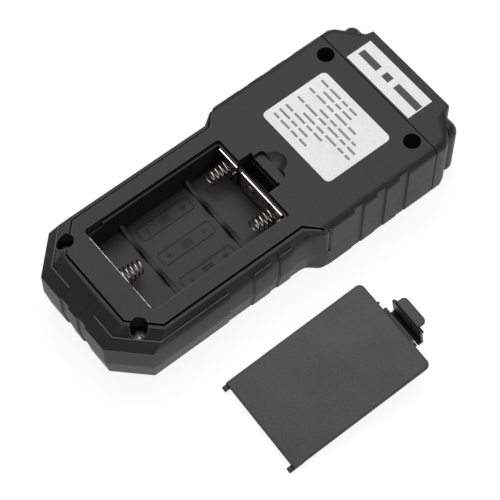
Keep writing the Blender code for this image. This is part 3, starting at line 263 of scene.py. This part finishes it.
# pad-printed key marks: an opaque off-white paint, half matte
keyPaint = mouldedPlastic("padPrintedPaint", {
    "dark": "#d2d2d0", "light": "#e6e6e4", "grain": 0.25 * mm, "cloud": 2 * mm, "speck": 0.4,
    "rough": (0.45, 0.55), "bump": 0.10, "depth": 0.01 * mm,
})
# clear acrylic: a hard gloss sheet with a faint smoke tint and fine wiping marks
clearAcrylic = clearSheet("clearAcrylic", {
    "dark": "#c3cacd", "light": "#dbe1e3", "scuff": 3 * mm, "rough": (0.03, 0.10),
    "clear": 0.95, "ior": 1.49,
})
# LCD glass with its polariser: a flat grey-green under a smooth gloss
lcdGlass = mouldedPlastic("polarisedLcdGlass", {
    "dark": "#7d8a7e", "light": "#8a978b", "grain": 0.35 * mm, "cloud": 9 * mm, "speck": 0.3,
    "rough": (0.12, 0.18), "bump": 0.03, "depth": 0.01 * mm, "ior": 1.52,
})
# segments that are switched off: a shade darker than the glass
lcdSegment = mouldedPlastic("restingLcdSegment", {
    "dark": "#58645a", "light": "#616d63", "grain": 0.3 * mm, "cloud": 3 * mm, "speck": 0.3,
    "rough": (0.14, 0.20), "bump": 0.03, "depth": 0.01 * mm, "ior": 1.52,
})
# solder mask over glass cloth: green, with paler tracks standing under it
solderMask = bandedSheet("greenSolderMask", {
    "dark": "#1a4a2c", "light": "#2c6a42", "band": 1.27 * mm, "wander": 2.5, "across": "X",
    "edge": (0.62, 0.70), "rough": (0.38, 0.30),
})
# transfer-moulded epoxy on chips and switches: charcoal with a dusty grain
chipEpoxy = mouldedPlastic("mouldedEpoxy", {
    "dark": "#1c1c1e", "light": "#28282a", "grain": 0.2 * mm, "cloud": 2 * mm, "speck": 0.6,
    "rough": (0.50, 0.60), "bump": 0.20, "depth": 0.02 * mm,
})
# enamelled copper wire: orange brown under clear varnish, its shade changing from turn to turn
coilCopper = platedMetal("enamelledCopper", {
    "dark": "#8f4a22", "light": "#b8692f", "stain": 0.4 * mm, "dent": 0.4 * mm,
    "rough": (0.22, 0.34),
})
# tinned copper sheet: dull silver with a yellow cast
tinnedCopper = platedMetal("tinnedCopper", {
    "dark": "#ad9d86", "light": "#cdbfa9", "stain": 4 * mm, "dent": 1.5 * mm,
    "rough": (0.30, 0.44),
})
# natural nylon: milky, lets a little light in
holderNylon = mouldedPlastic("naturalNylon", {
    "dark": "#d0cec6", "light": "#dedcd4", "grain": 0.3 * mm, "cloud": 8 * mm, "speck": 0.3,
    "rough": (0.42, 0.52), "bump": 0.10, "depth": 0.02 * mm, "soft": 0.15,
})
# striped silicone connector: carbon layers between clear ones
# (the layers are wider than life, or they wouldn't show)
zebraSilicone = bandedSheet("stripedSilicone", {
    "dark": "#3a3a3a", "light": "#b4b2ac", "band": 0.5 * mm, "wander": 0.0, "across": "X",
    "edge": (0.4, 0.6), "rough": (0.60, 0.50),
})
# tinted cast epoxy: deep red and glossy, with a little light let through
lampEpoxy = clearSheet("tintedLampEpoxy", {
    "dark": "#7c1410", "light": "#9c1c16", "scuff": 1.5 * mm, "rough": (0.10, 0.20),
    "clear": 0.35, "ior": 1.54,
})
print("finishes made")


# three geometry trees: bars laid on points, coils wound on points, and a bead along lines

def newTree(name, sizes):
    tree = bpy.data.node_groups.new(name, "GeometryNodeTree")
    tree.interface.new_socket("Geometry", in_out="INPUT", socket_type="NodeSocketGeometry")
    for size in sizes:
        tree.interface.new_socket(size, in_out="INPUT", socket_type="NodeSocketFloat")
    tree.interface.new_socket("Geometry", in_out="OUTPUT", socket_type="NodeSocketGeometry")
    return tree, addNode(tree, "NodeGroupInput").outputs


def closeTree(tree, spread, material):
    solid = addNode(tree, "GeometryNodeRealizeInstances", None, {0: spread}).outputs[0]
    values = {"Material": material}
    painted = addNode(tree, "GeometryNodeSetMaterial", values, {"Geometry": solid})
    addNode(tree, "NodeGroupOutput", None, {0: painted.outputs[0]})


def tubeAlong(tree, path, radius, sides):
    values = {"Resolution": sides}
    ring = addNode(tree, "GeometryNodeCurvePrimitiveCircle", values, {"Radius": radius})
    links = {"Curve": path, "Profile Curve": ring.outputs[0]}
    return addNode(tree, "GeometryNodeCurveToMesh", {"Fill Caps": True}, links).outputs[0]


# each point carries its bar's length, width and height, and the rim is how much smaller a bar's
# upper face is
def barTree(name, material):
    tree, start = newTree(name, ["rim"])
    links = {"Mesh": start["Geometry"]}
    points = addNode(tree, "GeometryNodeMeshToPoints", None, links).outputs[0]
    values = {"Name": "size"}
    size = addNode(tree, "GeometryNodeInputNamedAttribute", values, data_type="FLOAT_VECTOR")
    block = addNode(tree, "GeometryNodeMeshCube", {"Size": (1.0, 1.0, 1.0)}).outputs[0]
    place = addNode(tree, "GeometryNodeInputPosition").outputs[0]
    height = addNode(tree, "ShaderNodeSeparateXYZ", None, {0: place}).outputs[2]
    upper = addNode(tree, "FunctionNodeCompare", {1: 0.0}, {0: height}, operation="GREATER_THAN")
    links = {0: start["rim"], 1: start["rim"]}
    narrow = addNode(tree, "ShaderNodeCombineXYZ", {2: 1.0}, links).outputs[0]
    links = {0: place, 1: narrow}
    drawn = addNode(tree, "ShaderNodeVectorMath", None, links, operation="MULTIPLY")
    links = {"Geometry": block, "Selection": upper.outputs[0], "Position": drawn.outputs[0]}
    block = addNode(tree, "GeometryNodeSetPosition", None, links).outputs[0]
    links = {"Points": points, "Instance": block, "Scale": size.outputs[0]}
    spread = addNode(tree, "GeometryNodeInstanceOnPoints", None, links).outputs[0]
    closeTree(tree, spread, material)
    return tree


# each point carries the turn of its coil's axis
def coilTree(name, material):
    sizes = ("turns", "baseRadius", "tipRadius", "height", "wireRadius")
    tree, start = newTree(name, sizes)
    links = {"Mesh": start["Geometry"]}
    points = addNode(tree, "GeometryNodeMeshToPoints", None, links).outputs[0]
    links = {
        "Rotations": start["turns"], "Start Radius": start["baseRadius"],
        "End Radius": start["tipRadius"], "Height": start["height"],
    }
    path = addNode(tree, "GeometryNodeCurveSpiral", {"Resolution": 40}, links).outputs[0]
    wire = tubeAlong(tree, path, start["wireRadius"], sides=12)
    values = {"Name": "turn"}
    turn = addNode(tree, "GeometryNodeInputNamedAttribute", values, data_type="FLOAT_VECTOR")
    axis = addNode(tree, "FunctionNodeEulerToRotation", None, {0: turn.outputs[0]})
    links = {"Points": points, "Instance": wire, "Rotation": axis.outputs[0]}
    spread = addNode(tree, "GeometryNodeInstanceOnPoints", None, links).outputs[0]
    closeTree(tree, spread, material)
    return tree


def beadTree(name, material):
    tree, start = newTree(name, ["radius"])
    links = {"Mesh": start["Geometry"]}
    path = addNode(tree, "GeometryNodeMeshToCurve", None, links).outputs[0]
    closeTree(tree, tubeAlong(tree, path, start["radius"], sides=10), material)
    return tree


def plainMesh(piece, modifier):  # what a modifier makes of a piece
    shown = piece.evaluated_get(bpy.context.evaluated_depsgraph_get())
    made = bpy.data.meshes.new_from_object(shown)
    piece.modifiers.remove(modifier)
    return made


def growPiece(name, tree, sizes, places, label="", values=(), steps=()):
    mesh = bpy.data.meshes.new(name)
    mesh.from_pydata(places, steps, [])
    if label:
        layer = mesh.attributes.new(label, "FLOAT_VECTOR", "POINT")
        for i, value in enumerate(values):
            layer.data[i].vector = value
    piece = addObject(name, mesh)
    modifier = piece.modifiers.new(name, "NODES")
    modifier.node_group = tree
    for item in tree.interface.items_tree:
        if item.in_out == "INPUT" and item.name in sizes:
            modifier[item.identifier] = sizes[item.name]
    piece.data = plainMesh(piece, modifier)
    bpy.data.meshes.remove(mesh)
    return piece


barSet = {"rim": 0.94}


# bars are listed in mm as (middle x, middle y, length, width), and stand from one height to another
def layBars(name, tree, bars, heights, body):
    low, high = heights
    places = [(x * mm, y * mm, (low + high) / 2 * mm) for x, y, length, width in bars]
    values = [(length * mm, width * mm, (high - low) * mm) for x, y, length, width in bars]
    piece = growPiece(name, tree, barSet, places, "size", values)
    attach(piece, body)


# dressed copies of the CAD solids: merged, edges rounded, shaded smooth between creases

roundSet = {
    "merge": 0.002 * mm, "level": 0.4,  # points this near, and faces within these degrees, are one
    "corner": 30, "segments": 2,  # edges past these degrees are rounded
    "room": 0.4,  # the share of the edges beside it that a rounding may take
    "seamCatch": 0.03 * mm, "seamLevel": 0.01 * mm, "seamShare": 0.2,  # seam edges stay crisp
    "goes": 24, "near": 0.35 * mm, "least": 0.3,  # a rounding near a fault is halved, then left out
    "speck": 1e-13, "turned": 0.7, "folded": 150,  # a fault's area, cosine and degrees
    "crease": 28,  # degrees past which the shading breaks
}


# where a rounded edge has run into the next one: triangles turned from their face, or folded
# back on a neighbour
def foldedSpots(mesh, s):
    mesh.calc_loop_triangles()
    spots = []
    for part in mesh.loop_triangles:
        facing = part.normal.dot(mesh.polygons[part.polygon_index].normal)
        if part.area > s["speck"] and facing < s["turned"]:
            spots.append(part.center.copy())
    bm = bmesh.new()
    bm.from_mesh(mesh)
    bmesh.ops.triangulate(bm, faces=bm.faces)
    for edge in bm.edges:
        if len(edge.link_faces) == 2 and edge.calc_face_angle(0.0) > math.radians(s["folded"]):
            spots.append((edge.verts[0].co + edge.verts[1].co) / 2)
    bm.free()
    return spots


def distanceTo(edge, spot):
    first, last = (vert.co for vert in edge.verts)
    share = intersect_point_line(spot, first, last)[1]
    return (first.lerp(last, min(1.0, max(0.0, share))) - spot).length


def modified(piece, kind, **settings):
    modifier = piece.modifiers.new("finish", kind)
    for name, value in settings.items():
        setattr(modifier, name, value)
    return plainMesh(piece, modifier)


# a bevel weight for each edge that has a corner to round
def weighEdges(bm, weight, width, seam, s):
    for edge in bm.edges:
        if len(edge.link_faces) != 2 or edge.calc_face_angle(0.0) <= math.radians(s["corner"]):
            continue
        beside = []
        for loop in edge.link_loops:
            beside += [loop.link_loop_prev.edge, loop.link_loop_next.edge]
        room = s["room"] * min(other.calc_length() for other in beside)
        atSeam = seam and all(abs(v.co.z - seam["to"]) < s["seamLevel"] for v in edge.verts)
        edge[weight] = min(s["seamShare"] if atSeam else 1.0, room / width)


def dress(name, width, seam=None, s=roundSet):
    mesh = nodes[name].data.copy()
    piece = addObject(name + "Dressed", mesh)
    bm = bmesh.new()
    bm.from_mesh(mesh)
    bmesh.ops.remove_doubles(bm, verts=bm.verts, dist=s["merge"])
    level = math.radians(s["level"])
    bmesh.ops.dissolve_limit(bm, angle_limit=level, verts=bm.verts, edges=bm.edges)
    for vert in bm.verts:
        if seam and abs(vert.co.z - seam["from"]) < s["seamCatch"]:
            vert.co.z = seam["to"]
    weight = bm.edges.layers.float.new("bevel_weight_edge")
    weighEdges(bm, weight, width, seam, s)
    bevel = {"width": width, "segments": s["segments"], "limit_method": "WEIGHT"}
    for attempt in range(s["goes"]):  # rounded less wherever there is no room for it
        bm.to_mesh(mesh)
        made = modified(piece, "BEVEL", use_clamp_overlap=False, **bevel)
        spots = foldedSpots(made, s)
        rounded = [edge for edge in bm.edges if edge[weight] > 0]
        tight = [e for e in rounded if any(distanceTo(e, spot) < s["near"] for spot in spots)]
        if not tight:
            break
        for edge in tight:
            edge[weight] = edge[weight] / 2 if edge[weight] > s["least"] else 0.0
    bm.free()
    made.shade_smooth()
    made.set_sharp_from_angle(angle=math.radians(s["crease"]))
    piece.data = made
    # broad faces stay evenly shaded
    piece.data = modified(piece, "WEIGHTED_NORMAL", keep_sharp=True)
    print(" ", name, "rounded in", attempt + 1, "goes,", len(spots), "tight spots left")
    return piece


def finishPiece(piece, material, body, name):
    piece.data.materials.clear()
    piece.data.materials.append(material)
    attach(piece, body)
    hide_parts(name)


# the two shells meet at a hairline, nearer than the solids' gap
shellSeam = {
    "rear_shell": {"from": 10.35 * mm, "to": 10.26 * mm},
    "front_shell": {"from": 10.05 * mm, "to": 10.14 * mm},
}
contacts = (
    "contact_bridge_grip", "contact_plate_grip", "contact_bridge_head", "contact_plate_head",
)
screws = ("case_screw_1", "case_screw_2", "case_screw_3", "case_screw_4")
dressSet = (  # solids, finish, body and width of their rounded edges
    (("rear_shell", "front_shell"), caseAbs, "case", 0.12 * mm),
    (("head_cap",), caseAbs, "case", 0.15 * mm),
    (("battery_cover",), coverAbs, "cover", 0.20 * mm),
    (("cover_latch",), coverAbs, "latch", 0.15 * mm),
    (contacts, nickel, "case", 0.05 * mm),
    (screws, blackZinc, "case", 0.10 * mm),
    (("button_power",), keyRubber, "key_power", 0.25 * mm),
    (("button_mode",), keyRubber, "key_mode", 0.25 * mm),
    (("button_hold",), keyRubber, "key_hold", 0.25 * mm),
)
for solids, material, body, width in dressSet:
    for name in solids:
        finishPiece(dress(name, width, shellSeam.get(name)), material, body, name)
print("shells, cover, contacts, screws and keys dressed")


springSet = {
    "axisHeight": 18.65, "turns": 4.7, "baseRadius": 3.05 * mm, "tipRadius": 2.1 * mm,
    "height": 7.4 * mm, "wireRadius": 0.28 * mm, "crease": 50,
    "feet": ((-10.8, 1.0, 1), (0.0, -47.7, -1), (10.8, 1.0, 1)),  # x, y, and 1 for the head end
}


def makeSprings(s):
    tree = coilTree("contactCoil", nickel)
    places = [(x * mm, y * mm, s["axisHeight"] * mm) for x, y, end in s["feet"]]
    turns = [(math.radians(90) * end, 0.0, 0.0) for x, y, end in s["feet"]]
    springs = growPiece("contactSprings", tree, s, places, "turn", turns)
    springs.data.shade_smooth()
    springs.data.set_sharp_from_angle(angle=math.radians(s["crease"]))
    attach(springs, "case")
    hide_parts("contact_spring_1", "contact_spring_2", "contact_spring_3")


makeSprings(springSet)
print("springs wound")


# a fine bead where the grip's two slopes meet, broken at the grip's slots

beadSet = {
    "height": 21.68, "radius": 0.20 * mm, "crease": 50, "side": 25.06, "end": -62.36,
    "corner": (15.10, -52.40),  # x where the end stops being straight, and y where the side starts
    "endStop": 6.0, "sideRuns": ((-17.1, -10.7), (-7.3, -2.8)), "sideStop": -27.0,
}


def makeBead(s):
    side, end, (turnX, turnY) = s["side"], s["end"], s["corner"]
    runs = []
    for hand in (-1, 1):
        runs.append([
            (hand * s["endStop"], end), (hand * turnX, end),
            (hand * side, turnY), (hand * side, s["sideStop"]),
        ])
        runs += [[(hand * side, first), (hand * side, last)] for first, last in s["sideRuns"]]
    places, steps = [], []
    for run in runs:
        steps += [(len(places) + i, len(places) + i + 1) for i in range(len(run) - 1)]
        places += [(x * mm, y * mm, s["height"] * mm) for x, y in run]
    bead = growPiece("slopeBead", beadTree("slopeBead", caseAbs), s, places, steps=steps)
    bead.data.shade_smooth()
    bead.data.set_sharp_from_angle(angle=math.radians(s["crease"]))
    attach(bead, "case")


makeBead(beadSet)
print("grip bead laid")


# labels: film with its upper face a hair low, so that the ink stays inside the solids' box

labelSet = {"edge": 0.03 * mm, "above": 25.125 * mm, "drop": 0.015 * mm, "ink": (25.15, 25.17)}
ratingRows = {
    "rows": (  # y, first x and last x of each row of plain bars
        (41.3, -13.9, 3.0), (39.0, -10.2, 3.3), (36.6, -14.0, 8.5),
        (33.9, -5.9, 11.1), (31.7, -13.9, 13.4), (29.2, -8.2, 13.8),
        (27.0, -14.0, 3.3), (24.5, -14.0, 0.7), (22.1, -13.9, 1.7),
    ),
    "runs": (3.4, 5.0, 2.6, 4.2, 3.0, 5.6), "least": 0.6, "space": 0.8, "width": 0.85,
}
headRow = {"y": 58.0, "width": 2.6, "first": -14.4, "lengths": (8.6, 3.2, 11.2), "space": 2.4}


def makeLabels(s, rating, head):
    for name in ("rating_label", "head_label"):
        film = dress(name, s["edge"])
        for vert in film.data.vertices:
            if vert.co.z > s["above"]:
                vert.co.z -= s["drop"]
        finishPiece(film, labelFilm, "case", name)
    bars = []
    for row, (y, first, last) in enumerate(rating["rows"]):
        x = first
        step = row  # each row starts on the next length
        while x < last - rating["least"]:
            length = min(rating["runs"][step % len(rating["runs"])], last - x)
            bars.append((x + length / 2, y, length, rating["width"]))
            x += length + rating["space"]
            step += 1
    layBars("ratingBars", barTree("ratingBar", paleInk), bars, s["ink"], "case")
    bars = []
    x = head["first"]
    for length in head["lengths"]:
        bars.append((x + length / 2, head["y"], length, head["width"]))
        x += length + head["space"]
    layBars("headBars", barTree("headBar", denseInk), bars, s["ink"], "case")


makeLabels(labelSet, ratingRows, headRow)
print("labels laid")


# polarity frames moulded on the bay floor, one for each cell, with plain + and - marks

bayMarks = {
    "cells": ((-10.8, 1), (0.0, -1), (10.8, 1)),  # x, and which end its plus is at
    "middle": -23.35, "length": 19.5, "width": 4.8, "line": 0.28, "sign": 2.0, "signAt": 6.6,
    "bold": 1.4, "dash": 4.0, "dashStep": 0.9, "heights": (13.1, 13.38),
}


def makeBayMarks(s):
    middle, line, bold = s["middle"], s["line"], s["line"] * s["bold"]
    bars = []
    for x, end in s["cells"]:
        for side in (-1, 1):
            bars.append((x + side * s["width"] / 2, middle, line, s["length"]))
            bars.append((x, middle + side * s["length"] / 2, s["width"], line))
            bars.append((x, middle + side * s["signAt"], s["sign"], bold))
        bars.append((x, middle + end * s["signAt"], bold, s["sign"]))
        for step in (-1, 0, 1):
            bars.append((x + step * s["dashStep"], middle, bold, s["dash"]))
    # the satin finish paints shade along the bars' edges, so that the frames and signs show as dark
    # lines
    layBars("bayMarks", barTree("bayMark", coverAbs), bars, s["heights"], "case")


makeBayMarks(bayMarks)
print("bay floor marked")


# front face, hidden in the photo: resting display segments and plain key marks

displaySet = {
    "rows": ((31.0, 5.2, 8.6), (16.6, 3.0, 5.2)),  # y, digit width, digit height
    "digits": 4, "space": 2.6, "line": 0.8, "heights": (2.27, 2.305),
}


def makeDisplay(s):
    line = s["line"]
    bars = []
    for y, width, height in s["rows"]:
        for digit in range(s["digits"]):
            x = (digit - (s["digits"] - 1) / 2) * (width + s["space"])
            for level in (-1, 0, 1):
                bars.append((x, y + level * height / 2, width - line, line))
            for side in (-1, 1):
                for level in (-1, 1):
                    place = (x + side * width / 2, y + level * height / 4)
                    bars.append((*place, line, height / 2 - line))
    tree = barTree("displaySegment", lcdSegment)
    layBars("displaySegments", tree, bars, s["heights"], "case")


keySet = {
    "y": -14.5, "heights": (0.38, 0.42),
    "marks": {  # x of the key, then its bars about its middle
        "key_power": (-13.8, (
            (0.0, 0.9, 0.5, 2.0), (-1.5, -0.4, 0.5, 2.4),
            (1.5, -0.4, 0.5, 2.4), (0.0, -1.6, 2.6, 0.5),
        )),
        "key_mode": (0.0, ((0.0, 1.0, 3.4, 0.5), (0.0, 0.0, 3.4, 0.5), (0.0, -1.0, 3.4, 0.5))),
        "key_hold": (13.8, ((-0.8, 0.0, 0.7, 2.6), (0.8, 0.0, 0.7, 2.6))),
    },
}


def makeKeyMarks(s):
    tree = barTree("keyMark", keyPaint)
    for body, (x, marks) in s["marks"].items():
        bars = [(x + dx, s["y"] + dy, length, width) for dx, dy, length, width in marks]
        layBars(body + "Mark", tree, bars, s["heights"], body)


makeDisplay(displaySet)
makeKeyMarks(keySet)
print("display and key marks laid")


# every solid takes the finish of its slot, and those that aren't dressed show with it

finishOf = {
    "textured_abs": caseAbs, "satin_abs": coverAbs, "nickel": nickel, "black_zinc": blackZinc,
    "epoxy": chipEpoxy, "solder_mask": solderMask, "copper": coilCopper, "nylon": holderNylon,
    "tinned_copper": tinnedCopper, "silicone": zebraSilicone, "key_silicone": keyRubber,
    "label_film": labelFilm, "lamp_epoxy": lampEpoxy, "lcd_glass": lcdGlass,
    "acrylic": clearAcrylic,
}
for node in nodes.values():
    slot = node.data.materials[0].name.split(".")[0]
    node.data.materials.clear()
    node.data.materials.append(finishOf[slot])
print("finishes given")


# stage and light

stageSet = {
    "flat": 4.0, "rim": 6.0, "rise": 1.1,  # paper, flat round the object and swept up far off
    "steps": 12, "sides": 48, "paper": "#747474", "glow": 0.88,
    "sky": "#ffffff", "zenith": 1.06, "horizon": 0.03, "skyFrom": 0.40, "skyTo": 0.92,
}


def sweepMesh(s):
    sides = s["sides"]
    turns = [math.tau * i / sides for i in range(sides)]
    places, faces = [], [tuple(range(sides))]
    for step in range(s["steps"] + 1):
        bend = math.radians(90) * step / s["steps"]
        radius = s["flat"] + (s["rim"] - s["flat"]) * math.sin(bend)
        rise = s["rise"] * (1 - math.cos(bend))
        places += [(radius * math.cos(a), radius * math.sin(a), rise) for a in turns]
    for step in range(s["steps"]):
        for i in range(sides):
            near, far = step * sides + i, step * sides + (i + 1) % sides
            faces.append((near, near + sides, far + sides, far))
    mesh = bpy.data.meshes.new("table")
    mesh.from_pydata(places, [], faces)
    mesh.shade_smooth()
    mesh.polygons[0].use_smooth = False  # the flat part stays evenly lit
    return mesh


def makeStage(s):
    table = addObject("table", sweepMesh(s))
    material = bpy.data.materials.new("whitePaperSweep")
    material.use_nodes = True
    tree = material.node_tree
    tree.nodes.clear()
    path = addNode(tree, "ShaderNodeLightPath").outputs
    seen = path["Is Camera Ray"]
    for ray in ("Is Glossy Ray", "Is Transmission Ray"):
        links = {0: seen, 1: path[ray]}
        seen = addNode(tree, "ShaderNodeMath", None, links, operation="MAXIMUM").outputs[0]
    glow = addNode(tree, "ShaderNodeMath", {1: s["glow"]}, {0: seen}, operation="MULTIPLY")
    links = {"Strength": glow.outputs[0]}
    light = addNode(tree, "ShaderNodeEmission", {"Color": linear(s["sky"])}, links)
    paper = addNode(tree, "ShaderNodeBsdfDiffuse", {"Color": linear(s["paper"])})
    both = addNode(tree, "ShaderNodeAddShader", None, {0: light.outputs[0], 1: paper.outputs[0]})
    addNode(tree, "ShaderNodeOutputMaterial", None, {"Surface": both.outputs[0]})
    table.data.materials.append(material)


def makeSky(s):
    world = bpy.data.worlds.new("studio")
    bpy.context.scene.world = world
    world.use_nodes = True
    tree = world.node_tree
    tree.nodes.clear()
    way = addNode(tree, "ShaderNodeTexCoord").outputs["Generated"]
    rise = addNode(tree, "ShaderNodeSeparateXYZ", None, {0: way}).outputs[2]
    values = {
        "From Min": s["skyFrom"], "From Max": s["skyTo"],
        "To Min": s["horizon"], "To Max": s["zenith"],
    }
    smooth = {"interpolation_type": "SMOOTHSTEP"}
    level = addNode(tree, "ShaderNodeMapRange", values, {"Value": rise}, **smooth).outputs[0]
    sky = addNode(tree, "ShaderNodeBackground", {"Color": linear(s["sky"])}, {"Strength": level})
    addNode(tree, "ShaderNodeOutputWorld", None, {"Surface": sky.outputs[0]})


lampSet = {
    "overhead": {"place": (-0.35, 0.28, 0.82), "aim": (0.01, 0.0, 0.0), "size": 0.6, "watts": 2.8},
    "fill": {"place": (0.42, 0.20, 0.26), "aim": (0.028, 0.03, 0.01), "size": 0.25, "watts": 0.12},
}


def makeLamp(name, s):
    data = bpy.data.lights.new(name, "AREA")
    data.energy = s["watts"]
    data.size = s["size"]
    lamp = addObject(name, data)
    lamp.location = s["place"]
    lamp.rotation_mode = "QUATERNION"
    lamp.rotation_quaternion = (Vector(s["aim"]) - Vector(s["place"])).to_track_quat("-Z", "Y")


makeStage(stageSet)
makeSky(stageSet)
for name, s in lampSet.items():
    makeLamp(name, s)
print("stage and lamps set")
